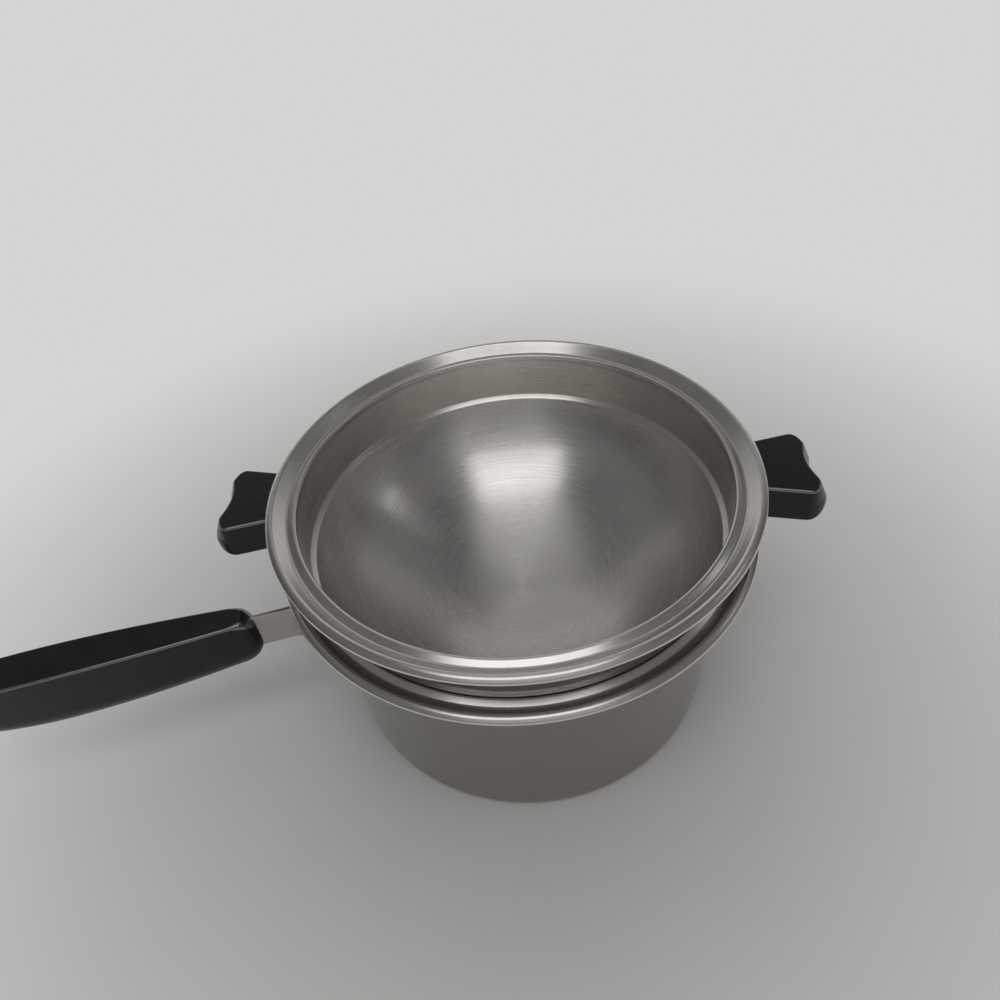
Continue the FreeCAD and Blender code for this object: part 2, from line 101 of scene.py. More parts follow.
# Grids of points (rows, columns, 3) to one mesh. Cells are quads, the last column joins the first, and
# points that fall together are merged so that poles and seams close. A grid's finish is the material index
# of each row of cells or of each cell, and its along is a length for each row. Normals are weighted by the
# area of the faces.
def gridMesh(name, grids):
    points = np.vstack([grid["points"].reshape(-1, 3) for grid in grids])
    quads, finish, along, offset = [], [], [], 0
    for grid in grids:
        rows, columns = grid["points"].shape[:2]
        first = offset + np.arange(rows - 1)[:, None] * columns + np.arange(columns)
        second = offset + np.arange(rows - 1)[:, None] * columns + np.roll(np.arange(columns), -1)
        quads.append(np.stack([first, second, second + columns, first + columns], 2).reshape(-1, 4))
        cellFinish = np.array(grid.get("finish", 0))
        if cellFinish.ndim == 1:
            cellFinish = cellFinish[:, None]
        finish.append(np.broadcast_to(cellFinish, (rows - 1, columns)).ravel())
        along.append(np.broadcast_to(grid.get("along", np.zeros(rows))[:, None], (rows, columns)).ravel())
        offset += rows * columns
    quads, finish, along = np.vstack(quads), np.concatenate(finish), np.concatenate(along)
    _, keep, merged = np.unique(
        np.round(points, mergeDigits), axis=0, return_index=True, return_inverse=True)
    points, along, quads = points[keep], along[keep], merged.reshape(-1)[quads]
    same = quads == np.roll(quads, -1, axis=1)
    whole = (same.sum(1) == 0) & (quads[:, 0] != quads[:, 2]) & (quads[:, 1] != quads[:, 3])
    faces, faceFinish = [quads[whole]], [finish[whole]]
    for k in range(4):
        bent = (same.sum(1) == 1) & same[:, k]
        faces.append(quads[bent][:, [(k + 1) % 4, (k + 2) % 4, (k + 3) % 4]])
        faceFinish.append(finish[bent])
    square = []
    for face in faces:
        a, b, c, d = (points[face[:, k]] for k in (0, 1, 2, -1))
        square.append(np.cross(c - a, d - b) if face.shape[1] == 4 else np.cross(b - a, c - a))
    volume = sum((np.einsum("ij,ij->i", points[f].mean(1), s)).sum() for f, s in zip(faces, square))
    if volume < 0:
        faces = [face[:, ::-1] for face in faces]
        square = [-s for s in square]
    normals = np.zeros_like(points)
    for face, s in zip(faces, square):
        for k in range(face.shape[1]):
            np.add.at(normals, face[:, k], s)
    normals /= np.maximum(np.linalg.norm(normals, axis=1), 1e-12)[:, None]
    mesh = bpy.data.meshes.new(name)
    mesh.from_pydata((points * mm).tolist(), [], [f for face in faces for f in face.tolist()])
    mesh.polygons.foreach_set("material_index", np.concatenate(faceFinish))
    mesh.attributes.new("along", "FLOAT", "POINT").data.foreach_set("value", along * mm)
    mesh.shade_smooth()
    mesh.normals_split_custom_set_from_vertices(normals)
    return mesh


def addPiece(name, mesh, finishes, body, slotName, *nodes):
    piece = bpy.data.objects.new(name, mesh)
    bpy.context.scene.collection.objects.link(piece)
    for finish in finishes:
        mesh.materials.append(finish)
    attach(piece, body)
    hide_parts(*nodes)
    print("piece:", name, len(mesh.polygons), "faces")


# Shader nodes: inputs are values or the sockets that feed them, settings are the node's own properties.
def add(tree, kind, inputs=None, **settings):
    made = tree.nodes.new("ShaderNode" + kind)
    for key, value in settings.items():
        setattr(made, key, value)
    for key, value in (inputs or {}).items():
        if isinstance(value, bpy.types.NodeSocket):
            tree.links.new(value, made.inputs[key])
        else:
            made.inputs[key].default_value = value
    return made


def newMaterial(name):
    made = bpy.data.materials.new(name)
    made.use_nodes = True
    return made, made.node_tree, made.node_tree.nodes["Principled BSDF"]


def feed(tree, shader, **sockets):
    for key, value in sockets.items():
        socket = shader.inputs[key.replace("_", " ")]
        if isinstance(value, bpy.types.NodeSocket):
            tree.links.new(value, socket)
        else:
            socket.default_value = value


def mapped(tree, value, low, high, toLow, toHigh):
    inputs = {"Value": value, "From Min": low, "From Max": high, "To Min": toLow, "To Max": toHigh}
    return add(tree, "MapRange", inputs).outputs["Result"]


def mixed(tree, share, first, second, blend="MIX"):
    made = add(tree, "Mix", {0: share, 6: first, 7: second}, data_type="RGBA", blend_type=blend)
    return made.outputs[2]


def noise(tree, vector, scale, detail=3.0, roughness=0.55):
    inputs = {"Vector": vector, "Scale": scale, "Detail": detail, "Roughness": roughness}
    return add(tree, "TexNoise", inputs).outputs["Fac"]


def math2(tree, operation, first, second):
    return add(tree, "Math", {0: first, 1: second}, operation=operation).outputs[0]


# Spans of noise values: most of a noise, and the peaks that make stains, clouds, scuffs and duller skin.
spans = dict(noise=(0.3, 0.7), stain=(0.52, 0.7), cloud=(0.5, 0.75), scuff=(0.6, 0.78), dull=(0.55, 0.78))
quarterTurn = 0.25


# Turned sheet: polish lines run round the axis, so a lamp's reflection is drawn out across them.
def spunSteel(name, look):
    made, tree, shader = newMaterial(name)
    place = add(tree, "TexCoord").outputs["Object"]
    along = add(tree, "Attribute", attribute_name="along").outputs["Fac"]
    level = add(tree, "VectorMath", {0: place, 1: (1, 1, 0)}, operation="MULTIPLY").outputs[0]
    around = add(tree, "VectorMath", {0: level}, operation="NORMALIZE").outputs[0]
    tangent = add(tree, "VectorMath", {0: (0, 0, 1), 1: place}, operation="CROSS_PRODUCT").outputs[0]
    lift = add(tree, "CombineXYZ", {"Z": math2(tree, "MULTIPLY", along, look["pitch"])}).outputs[0]
    stretch = (look["arc"], look["arc"], 0)
    turned = add(tree, "VectorMath", {0: around, 1: stretch, 2: lift}, operation="MULTIPLY_ADD").outputs[0]
    rings = noise(tree, turned, scale=1.0, detail=4.0, roughness=0.65)
    cloud = noise(tree, place, look["cloudScale"], detail=4.0, roughness=0.6)
    spots = noise(tree, place, look["stainScale"], detail=5.0, roughness=0.7)
    stain = mapped(tree, spots, *spans["stain"], 0.0, look["stain"])
    shade = mixed(tree, mapped(tree, rings, *spans["noise"], 0.0, 1.0), look["dark"], look["light"])
    colour = mixed(tree, stain, shade, look["stained"])
    ringRough = mapped(tree, rings, *spans["noise"], *look["rough"])
    cloudRough = mapped(tree, cloud, *spans["noise"], -look["cloudRough"], look["cloudRough"])
    rough = math2(tree, "ADD", ringRough, cloudRough)
    bump = add(tree, "Bump", {"Height": rings, "Strength": look["bump"], "Distance": look["bumpDepth"]})
    feed(tree, shader, Base_Color=colour, Metallic=1.0, Roughness=rough, Normal=bump.outputs[0],
         Anisotropic=look["anisotropic"], Anisotropic_Rotation=quarterTurn, Tangent=tangent)
    return made


bowlLook = dict(
    pitch=2800.0, arc=2.5, cloudScale=22.0, stainScale=55.0, stain=0.35,
    dark=(0.60, 0.585, 0.565, 1), light=(0.69, 0.675, 0.655, 1), stained=(0.53, 0.505, 0.475, 1),
    rough=(0.20, 0.31), cloudRough=0.02, bump=0.04, bumpDepth=0.00003, anisotropic=0.75)
innerLook = dict(
    bowlLook, dark=(0.63, 0.605, 0.57, 1), light=(0.71, 0.685, 0.645, 1), rough=(0.24, 0.36),
    anisotropic=0.88)
rimLook = dict(
    pitch=2400.0, arc=2.0, cloudScale=30.0, stainScale=70.0, stain=0.3,
    dark=(0.57, 0.555, 0.535, 1), light=(0.64, 0.625, 0.605, 1), stained=(0.48, 0.455, 0.425, 1),
    rough=(0.20, 0.27), cloudRough=0.02, bump=0.05, bumpDepth=0.00003, anisotropic=0.3)
# Painted shade: the saucepan's outer wall gets a much darker steel colour than the same polish on the
# insert's band, standing in for the darker surroundings it reflects.
mirrorLook = dict(
    pitch=900.0, arc=2.0, cloudScale=14.0, stainScale=40.0, stain=0.25,
    dark=(0.32, 0.305, 0.29, 1), light=(0.36, 0.345, 0.33, 1), stained=(0.27, 0.25, 0.225, 1),
    rough=(0.05, 0.09), cloudRough=0.015, bump=0.06, bumpDepth=0.00003, anisotropic=0.3)
bandLook = dict(
    mirrorLook, dark=(0.51, 0.485, 0.455, 1), light=(0.57, 0.545, 0.51, 1), stained=(0.43, 0.40, 0.365, 1),
    rough=(0.10, 0.16))
bowlSteel = spunSteel("bowl_satin", bowlLook)
innerSteel = spunSteel("inner_band_satin", innerLook)
rimSteel = spunSteel("rim_polish", rimLook)
mirrorSteel = spunSteel("wall_polish_painted_shade", mirrorLook)
bandSteel = spunSteel("band_polish", bandLook)


# Pressed steel of the blade and the feet: rolled grain along the blade, a dull satin finish.
def pressedSteel(name, look):
    made, tree, shader = newMaterial(name)
    place = add(tree, "TexCoord").outputs["Object"]
    drawn = add(tree, "Mapping", {"Vector": place, "Scale": look["grain"]}).outputs[0]
    grain = noise(tree, drawn, scale=1.0, detail=5.0, roughness=0.7)
    cloud = noise(tree, place, look["cloudScale"], detail=4.0, roughness=0.6)
    shade = mixed(tree, mapped(tree, grain, *spans["noise"], 0.0, 1.0), look["dark"], look["light"])
    stain = mapped(tree, cloud, *spans["cloud"], 0.0, look["stain"])
    colour = mixed(tree, stain, shade, look["stained"])
    rough = mapped(tree, grain, *spans["noise"], *look["rough"])
    bump = add(tree, "Bump", {"Height": grain, "Strength": look["bump"], "Distance": look["bumpDepth"]})
    feed(tree, shader, Base_Color=colour, Metallic=1.0, Roughness=rough, Normal=bump.outputs[0])
    return made


pressedLook = dict(stain=0.4, bump=0.1, bumpDepth=0.00002)
bladeSteel = pressedSteel("blade_satin", dict(
    pressedLook, grain=(60.0, 2500.0, 2500.0), cloudScale=60.0, dark=(0.46, 0.44, 0.42, 1),
    light=(0.58, 0.56, 0.54, 1), stained=(0.42, 0.39, 0.36, 1), rough=(0.30, 0.42), bumpDepth=0.00003))
screwSteel = pressedSteel("screw_nickel", dict(
    pressedLook, grain=(900.0, 900.0, 900.0), cloudScale=300.0, dark=(0.50, 0.49, 0.46, 1),
    light=(0.64, 0.62, 0.58, 1), stained=(0.40, 0.37, 0.33, 1), rough=(0.22, 0.36)))
bushBrass = pressedSteel("bush_brass", dict(
    pressedLook, grain=(800.0, 800.0, 800.0), cloudScale=250.0, dark=(0.56, 0.40, 0.17, 1),
    light=(0.70, 0.52, 0.25, 1), stained=(0.42, 0.28, 0.12, 1), rough=(0.26, 0.40)))


# Moulded black resin: faint flow clouds, a fine orange-peel skin and small handling scuffs.
def mouldedBlack(name, look):
    made, tree, shader = newMaterial(name)
    place = add(tree, "TexCoord").outputs["Object"]
    flow = noise(tree, place, look["flowScale"], detail=4.0, roughness=0.6)
    skin = noise(tree, place, look["skinScale"], detail=2.0, roughness=0.5)
    drawn = add(tree, "Mapping", {"Vector": place, "Scale": look["scuffScale"]}).outputs[0]
    scuff = noise(tree, drawn, scale=1.0, detail=5.0, roughness=0.7)
    shade = mixed(tree, mapped(tree, flow, *spans["noise"], 0.0, 1.0), look["dark"], look["light"])
    worn = mapped(tree, scuff, *spans["scuff"], 0.0, look["scuff"])
    colour = mixed(tree, worn, shade, look["scuffed"])
    dulled = mapped(tree, scuff, *spans["dull"], 0.0, look["scuffRough"])
    rough = math2(tree, "ADD", mapped(tree, flow, *spans["noise"], *look["rough"]), dulled)
    bump = add(tree, "Bump", {"Height": skin, "Strength": look["bump"], "Distance": look["bumpDepth"]})
    feed(tree, shader, Base_Color=colour, Roughness=rough, Normal=bump.outputs[0],
         Specular_IOR_Level=look["specular"], IOR=look["ior"])
    return made


# The top edges of the ears and the grip are worn to a higher gloss.
resinLook = dict(
    flowScale=45.0, skinScale=900.0, scuffScale=(120.0, 500.0, 300.0), scuff=0.25, scuffRough=0.12,
    dark=(0.0115, 0.0108, 0.0135, 1), light=(0.0185, 0.0172, 0.021, 1), scuffed=(0.03, 0.029, 0.031, 1),
    rough=(0.24, 0.32), bump=0.08, bumpDepth=0.00004, specular=0.32, ior=1.5)
edgeLook = dict(resinLook, rough=(0.16, 0.22), bump=0.03, specular=0.5, ior=2.5)
blackResin = mouldedBlack("black_resin", resinLook)
edgeResin = mouldedBlack("black_resin_worn_edge", edgeLook)
print("finishes made")


# The sheet's section, from the middle underneath to the middle inside: the mid-line offset by half a sheet
# to its outer side, a half-round free edge, and the mid-line offset to its inner side.
def sheetSection(line, sheet):
    way = tangents(line)
    side = np.c_[-way[:, 1], way[:, 0]] * sheet / 2
    turn = np.linspace(0, np.pi, bendSteps)[1:-1, None]
    edge = line[:1] + np.cos(turn) * side[:1] - np.sin(turn) * way[:1] * sheet / 2
    outer, inner = line + side, line - side
    outer[-1, 0] = inner[-1, 0] = 0
    return np.vstack([outer[::-1], edge, inner]), len(line), len(edge)


# Rim corners from the free edge inwards: skirt, rolled edge, crest, slope to the lid's groove, bead at the
# mouth. Each step is (run inwards, drop, bend at its inner end). The lift brings the top of the crest's bend
# to the crest, less a trim that keeps it inside the solid's box: it is the height of the bend's centre under
# its corner, less the bend itself.
def rimCorners(rim, sheet, edge, crest):
    _, (flangeRun, flangeDrop, bend), (riserRun, riserDrop, _), *_ = rim["steps"]
    flangeSlope, riserSlope = math.atan2(-flangeDrop, flangeRun), math.atan2(riserDrop, riserRun)
    aside = bend * (1 - math.cos(riserSlope) / math.cos(flangeSlope))
    aside /= math.sin(riserSlope) + math.cos(riserSlope) * math.tan(flangeSlope)
    lift = (bend + aside * math.sin(flangeSlope)) / math.cos(flangeSlope) - bend
    across, up = edge, crest - rim["trim"] - sheet / 2 + rim["steps"][0][1] + flangeDrop + lift
    lines = [(edge, up - rim["skirt"], 0), (across, up, rim["edgeBend"])]
    for run, drop, bend in rim["steps"]:
        across, up = across - run, up - drop
        lines.append((across, up, bend))
    return lines


rim = dict(
    skirt=0.5, edgeBend=0.8, foot=1.3, trim=0.045,
    steps=((1.65, -1.1, 3.2), (0.9, -0.06, 1.5), (5.3, 4.85, 1.6), (4.1, -2.0, 0.75)))


# A section spun round the axis: x and y are the radius times the cosine and sine of the angle.
def spun(section, angles):
    radius, height = section[:, :1], section[:, 1:]
    return np.stack([radius * np.cos(angles), radius * np.sin(angles),
                     np.broadcast_to(height, (len(section), len(angles)))], 2)


# Rows of the section by finish: outside of the sheet, rim with its free edge, inside, inside above bandFoot.
def sheetGrid(line, sheet, bead, bandFoot, angles):
    section, count, edge = sheetSection(line, sheet)
    finish = np.zeros(len(section) - 1, int)
    finish[count - 1:] = 1
    onRim = (line[:, 0] > bead[0] + sheet / 4) | (line[:, 1] > bead[1] - rim["foot"])
    inside = count + edge + np.count_nonzero(onRim)
    finish[inside:] = np.where(section[inside:-1, 1] > bandFoot, 3, 2)
    return dict(points=spun(section, angles), along=lengthAlong(section), finish=finish)


# Saucepan: tapered wall and flat base under the grooved rim.
pan = dict(sheet=1.2, baseMid=93.5, baseBend=4.4, columns=320, spread=2.5)
panLow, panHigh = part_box("saucepan_body")
panEdge = (panHigh.x - panLow.x) / mm / 2 - pan["sheet"] / 2
panRim = rimCorners(rim, pan["sheet"], panEdge, panHigh.z / mm)
panBase = [(pan["baseMid"], pan["sheet"] / 2, pan["baseBend"]), (0, pan["sheet"] / 2, 0)]
panLine = spreadLine(bentLine(panRim + panBase), pan["spread"])
panAngles = np.arange(pan["columns"]) * 2 * np.pi / pan["columns"]
panGrid = sheetGrid(panLine, pan["sheet"], panRim[-1], np.inf, panAngles)
addPiece("saucepan_shell", gridMesh("saucepan_shell", [panGrid]), [mirrorSteel, rimSteel, bowlSteel],
         "saucepan", "pan_steel", "saucepan_body")


# Radius of the saucepan's outer wall at a height: the taper from base to lip, plus half a sheet.
def panWall(height):
    top = panRim[-1]
    share = (height - pan["sheet"] / 2) / (top[1] - pan["sheet"] / 2)
    return pan["baseMid"] + (top[0] - pan["baseMid"]) * share + pan["sheet"] / 2


# Insert: the same rim, an upright band, the shoulder that seats, and a bowl of two tangent arcs.
insert = dict(
    sheet=1.0, band=28.53, shoulderDrop=1.75, shoulderRun=2.5, shoulderBend=0.9,
    bowlStart=1.0, bowlWall=66.0, bowlSide=61.2, bowlDepth=51.05, columns=240, spread=2.2,
    sideRows=30, bottomRows=44)
weld = dict(turn=4.2, height=113.0, radius=1.5, flat=0.35, depth=0.3, fine=0.64, reach=3.2, digits=6)
insertLow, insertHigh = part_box("insert_bowl")
insertEdge = (insertHigh.x - insertLow.x) / mm / 2 - insert["sheet"] / 2
insertCrest = insertHigh.z / mm
insertRim = rimCorners(rim, insert["sheet"], insertEdge, insertCrest)
earTurns = {}
for side in ("right", "left"):
    earCentre = sum(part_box("ear_handle_" + side), Vector()) / 2
    earTurns[side] = math.atan2(earCentre.y, earCentre.x)


# Mid-line of the insert. Below the shoulder the side arc starts at the wall's angle, and the bottom arc has
# the one radius that touches both the side arc and the level of the bowl's middle.
def insertLine(size):
    wall = insertRim[-1][0]
    shoulder = insertCrest - size["band"]
    foot = np.array((wall - size["shoulderRun"], shoulder - size["shoulderDrop"]))
    bowlMid = foot[1] - size["bowlDepth"]
    slope = math.radians(size["bowlWall"])
    start = foot - size["bowlStart"] * np.array((math.cos(slope), math.sin(slope)))
    centre = start + size["bowlSide"] * np.array((-math.sin(slope), math.cos(slope)))
    drop = centre[1] - bowlMid
    bottomRadius = (centre[0] ** 2 + drop ** 2 - size["bowlSide"] ** 2) / 2 / (drop - size["bowlSide"])
    bottom = np.array((0, bowlMid + bottomRadius))
    meet = math.atan2(centre[0], bottom[1] - centre[1])
    sideTurn = np.linspace(slope, meet, size["sideRows"])
    bottomTurn = np.linspace(meet, 0, size["bottomRows"])[1:]
    arcs = [centre + size["bowlSide"] * np.c_[np.sin(sideTurn), -np.cos(sideTurn)],
            bottom + bottomRadius * np.c_[np.sin(bottomTurn), -np.cos(bottomTurn)]]
    band = [(wall, weld["height"] + weld["reach"], 0), (wall, weld["height"] - weld["reach"], 0)]
    upper = bentLine(insertRim + band + [
        (wall, shoulder, size["shoulderBend"]), (*foot, size["shoulderBend"]), (*start, 0)])
    middle = (upper[1:, 1] + upper[:-1, 1]) / 2
    step = np.where(np.abs(middle - weld["height"]) < weld["reach"], weld["fine"], size["spread"])
    return np.vstack([spreadLine(upper, step)[:-1], *arcs])


# Angles of the insert's columns: even ones, and a fine set either side of each weld.
def insertAngles(size, welds):
    even = np.arange(size["columns"]) * 2 * np.pi / size["columns"]
    reach = np.arange(-weld["reach"], weld["reach"] + weld["fine"] / 2, weld["fine"]) / insertRim[-1][0]
    fine = (np.array(welds)[:, None] + reach).ravel() % (2 * np.pi)
    return np.unique(np.round(np.concatenate([even, fine]), weld["digits"]))


# Each weld leaves a shallow round dent in the inner face of the band.
def dentWelds(points, angles, welds):
    radius = np.hypot(points[..., 0], points[..., 1])
    inner = (np.abs(points[..., 2] - weld["height"]) < weld["reach"]) & (radius < insertRim[-1][0])
    dent = np.zeros(radius.shape)
    for place in welds:
        across = ((angles - place + np.pi) % (2 * np.pi) - np.pi) * radius
        away = np.hypot(across, points[..., 2] - weld["height"])
        dent += weld["depth"] * (1 - smoothStep(away, weld["flat"] * weld["radius"], weld["radius"]))
    points[..., :2] *= (1 + inner * dent / np.maximum(radius, 1))[..., None]


welds = [turn + way * math.radians(weld["turn"]) for turn in earTurns.values() for way in (-1, 1)]
insertColumns = insertAngles(insert, welds)
insertFoot = insertCrest - insert["band"]
insertGrid = sheetGrid(insertLine(insert), insert["sheet"], insertRim[-1], insertFoot, insertColumns)
dentWelds(insertGrid["points"], insertColumns, welds)
insertFinishes = [bandSteel, rimSteel, bowlSteel, innerSteel]
addPiece("insert_shell", gridMesh("insert_shell", [insertGrid]), insertFinishes,
         "insert", "insert_steel", "insert_bowl")


# Ear: flared sides, rounded tips and a hollow outer edge that leans in towards the top.
ear = dict(
    root=99.85, sideStart=98.05, rootHalf=14.4, flare=12.0, corner=139.77, waist=6.0, waistBend=26.0,
    tipBend=8.0, tipSteps=17, rootBend=0.8, rootDip=1.0, rootHollow=85.0, lean=4.0, sideLean=0.5,
    leanBend=12.0, edge=1.1, under=2.2, flatStart=1.6, tipUnder=9.0, spread=1.5, rings=7, freeStart=2.0,
    freeEnd=9.0, outerSpan=(-0.2, 1.0), spineStart=11.0, spineEnd=15.0, screwAt=114.0, recess=4.3,
    recessDepth=3.6, recessEdge=0.25, hole=2.2, holeShort=1.5)
earLow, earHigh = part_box("ear_handle_right")
ear.update(top=earHigh.z / mm, bottom=earLow.z / mm)
ear.update(middle=(ear["top"] + ear["bottom"]) / 2)


def earOutline(e):
    half = e["rootHalf"] + (e["corner"] - e["sideStart"]) * math.tan(math.radians(e["flare"]))
    corners = [
        (e["root"], -e["rootHalf"], e["rootBend"]),
        (e["corner"], -half, e["tipBend"]),
        (e["corner"] - e["waist"], 0, e["waistBend"]),
        (e["corner"], half, e["tipBend"]),
        (e["root"], e["rootHalf"], e["rootBend"]),
        (e["root"] + e["rootDip"], 0, e["rootHollow"]),
    ]
    return spreadLine(bentLine(corners, e["tipSteps"], closed=True), e["spread"], closed=True)


# Section of the ear as (inset, height): top edge, lean out to mid-height, upright, lower edge.
def earSection(e, lean):
    return bentLine([
        (lean + e["flatStart"] * e["edge"], e["top"], 0),
        (lean, e["top"], e["edge"]),
        (0, e["middle"], e["leanBend"]),
        (0, e["bottom"], e["under"]),
        (e["flatStart"] * e["under"], e["bottom"], 0),
    ])


# Rings from the top's spine over the worn edge and down the side, then under to the screw's recess and its
# hole. The inset goes square to the outline. The lower half rises towards the tip along a quarter round.
def earGrid(e):
    outline = earOutline(e)
    spineX = np.clip(outline[:, 0], e["root"] + e["spineStart"], e["corner"] - e["spineEnd"])
    spine = np.c_[spineX, np.zeros(len(spineX))]
    along = tangents(outline, closed=True)
    toSpine = (spine - outline) / np.linalg.norm(spine - outline, axis=1)[:, None]
    free = smoothStep(outline[:, 0], e["root"] + e["freeStart"], e["root"] + e["freeEnd"])[:, None]
    inward = np.c_[-along[:, 1], along[:, 0]] * free + toSpine * (1 - free)
    outer = smoothStep(along[:, 1], *e["outerSpan"])
    sideRows, outerRows = earSection(e, e["sideLean"]), earSection(e, e["lean"])
    inset = sideRows[:, None, 0] * (1 - outer) + outerRows[:, None, 0] * outer
    height = sideRows[:, None, 1] * (1 - outer) + outerRows[:, None, 1] * outer
    plan = outline + inset[..., None] * inward
    share = np.linspace(0, 1, e["rings"])[:, None, None]
    top = spine + (plan[0] - spine) * share[:-1]
    lastWay = plan[-1] - (e["screwAt"], 0)
    toHole = lastWay / np.linalg.norm(lastWay, axis=1)[:, None]
    recessRing = (e["screwAt"], 0) + toHole * (e["recess"] + e["recessEdge"])
    under = plan[-1] + (recessRing - plan[-1]) * share[1:]
    plan = np.concatenate([top, plan, under])
    topLevel, underLevel = np.full(top.shape[:2], e["top"]), np.full(under.shape[:2], e["bottom"])
    height = np.concatenate([topLevel, height, underLevel])
    past = np.clip(plan[..., 0] - (outline[:, 0].max() - e["tipUnder"]), 0, e["tipUnder"])
    rise = e["tipUnder"] - np.sqrt(e["tipUnder"] ** 2 - past ** 2)
    height = height + rise * np.clip((e["middle"] - height) / (e["middle"] - e["bottom"]), 0, 1)
    floor = e["bottom"] + e["recessDepth"]
    steps = [(e["recess"], e["bottom"] + e["recessEdge"]), (e["recess"], floor - e["recessEdge"]),
             (e["recess"] - e["recessEdge"], floor), (e["hole"] + e["recessEdge"], floor),
             (e["hole"], floor + e["recessEdge"]), (e["hole"], e["middle"] - e["holeShort"]),
             (0, e["middle"] - e["holeShort"])]
    radius, level = np.array(steps).T
    recessPlan = (e["screwAt"], 0) + toHole * radius[:, None, None]
    recessLevel = np.broadcast_to(level[:, None], recessPlan.shape[:2])
    points = np.dstack([np.concatenate([plan, recessPlan]), np.concatenate([height, recessLevel])])
    finish = np.zeros(len(points) - 1, int)
    firstEdge = len(top) + 1
    finish[firstEdge:firstEdge + bendSteps - 1] = 1
    return points, finish


earShape, earFinish = earGrid(ear)
for side, turn in earTurns.items():
    spin = np.array(((math.cos(turn), math.sin(turn), 0), (-math.sin(turn), math.cos(turn), 0), (0, 0, 1)))
    earMesh = gridMesh("ear_" + side, [dict(points=earShape @ spin, finish=earFinish)])
    addPiece("ear_" + side, earMesh, [blackResin, edgeResin],
             "insert", "moulded_black", "ear_handle_" + side)


plateSteps = 5


# Flat plate with rounded edges, as (a, b, h) points: rings from a spine on one face, over the edge, to the
# spine on the other.
def plateGrid(outline, thickness, edge, spineA, spineB):
    spine = np.c_[np.clip(outline[:, 0], *spineA), np.full(len(outline), spineB)]
    along = tangents(outline, closed=True)
    inward = np.c_[-along[:, 1], along[:, 0]]
    turn = np.linspace(0, np.pi / 2, plateSteps)
    inset = edge * (1 - np.sin(turn))
    rise = thickness / 2 - edge * (1 - np.cos(turn))
    inset, rise = np.concatenate([inset, inset[::-1]]), np.concatenate([rise, -rise[::-1]])
    plan = outline + inset[:, None, None] * inward
    share = np.linspace(0, 1, plateSteps)[:-1, None, None]
    face = spine + (plan[0] - spine) * share
    plan = np.concatenate([face, plan, face[::-1]])
    level = np.concatenate([np.full(len(face), rise[0]), rise, np.full(len(face), rise[-1])])
    return np.dstack([plan, np.broadcast_to(level[:, None], plan.shape[:2])])


# Handle bracket: the blade stands on edge, spreads down at its root and has a foot bent round the wall.
blade = dict(
    thickness=2.2, top=76.2, height=20.2, flare=9.0, flareRun=17.0, flareBend=18.0, endBend=5.0, edge=0.3,
    footSheet=1.6, footHalf=17.0, footMargin=3.0, footBend=4.0, footGap=0.05, spread=2.0,
    spineInset=12.0, footSpine=2.0)
bracketLow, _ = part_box("handle_bracket")


def bladeGrid(b):
    low = b["top"] - b["height"]
    end = bracketLow.x / mm
    root = -panWall(low) - b["footSheet"] / 2
    corners = [
        (-panWall(b["top"]) - b["footSheet"] / 2, b["top"], 0),
        (end, b["top"], b["endBend"]),
        (end, low, b["endBend"]),
        (root - b["flareRun"], low, b["flareBend"]),
        (-panWall(low - b["flare"]) - b["footSheet"] / 2, low - b["flare"], 0),
    ]
    outline = spreadLine(bentLine(corners, closed=True), b["spread"], closed=True)
    spine = (end + b["spineInset"], root - b["spineInset"])
    plate = plateGrid(outline, b["thickness"], b["edge"], spine, low + b["height"] / 2)
    return plate[..., [0, 2, 1]]


def footGrid(b):
    low, high = b["top"] - b["height"] - b["flare"] - b["footMargin"], b["top"] + b["footMargin"]
    ends = ((low, -1), (high, -1), (high, 1), (low, 1))
    corners = [(z, way * b["footHalf"], b["footBend"]) for z, way in ends]
    outline = spreadLine(bentLine(corners, closed=True), b["spread"], closed=True)
    middle = (low + high) / 2
    spine = (middle - b["footSpine"], middle + b["footSpine"])
    plate = plateGrid(outline, b["footSheet"], b["edge"], spine, 0)
    radius = panWall(plate[..., 0]) + b["footGap"] + b["footSheet"] / 2 + plate[..., 2]
    angle = np.pi + plate[..., 1] / panWall(high)
    return np.dstack([radius * np.cos(angle), radius * np.sin(angle), plate[..., 0]])


bracketMesh = gridMesh("handle_blade", [dict(points=bladeGrid(blade)), dict(points=footGrid(blade))])
addPiece("handle_blade", bracketMesh, [bladeSteel], "saucepan", "bracket_steel", "handle_bracket")


# Grip: sections swell from the neck to the palm and narrow to the butt. The top face has crisp worn edges,
# and the belly is round.
grip = dict(
    half=(6.0, 10.4, 8.6), top=(79.0, 80.5, 78.5), bottom=(49.5, 43.0, 54.0), palmAt=95.0, edge=1.1,
    edgeShare=0.95, noseEdge=4.0, noseEdgeRun=12.0, under=0.9, underDeep=11.0, deepShare=0.6, noseTop=6.2,
    noseUnder=11.0, nosePlan=5.6, buttSide=10.5, buttPlan=8.0, hangInset=15.0, hangRadius=4.5, hangFlare=1.6,
    endRows=18, rows=70, flat=(0, 0.4, 0.75, 0.96), arcSteps=10, fall=(0.04, 0.96), fallSteps=8, sharp=40.0)
gripLow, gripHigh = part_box("handle_grip")
gripLength = (gripHigh.x - gripLow.x) / mm


# Quarter-wave swell: neck to palm as a sine, palm to butt as one minus a cosine.
def swell(values, run):
    neck, palm, butt = values
    first = neck + (palm - neck) * np.sin(np.clip(run / grip["palmAt"], 0, 1) * np.pi / 2)
    share = np.clip((run - grip["palmAt"]) / (gripLength - grip["palmAt"]), 0, 1)
    return np.where(run < grip["palmAt"], first, palm + (butt - palm) * (1 - np.cos(share * np.pi / 2)))


# How far a quarter round of this radius has drawn in at a distance from the end.
def endRound(distance, radius):
    return radius - np.sqrt(radius ** 2 - np.clip(radius - distance, 0, radius) ** 2)


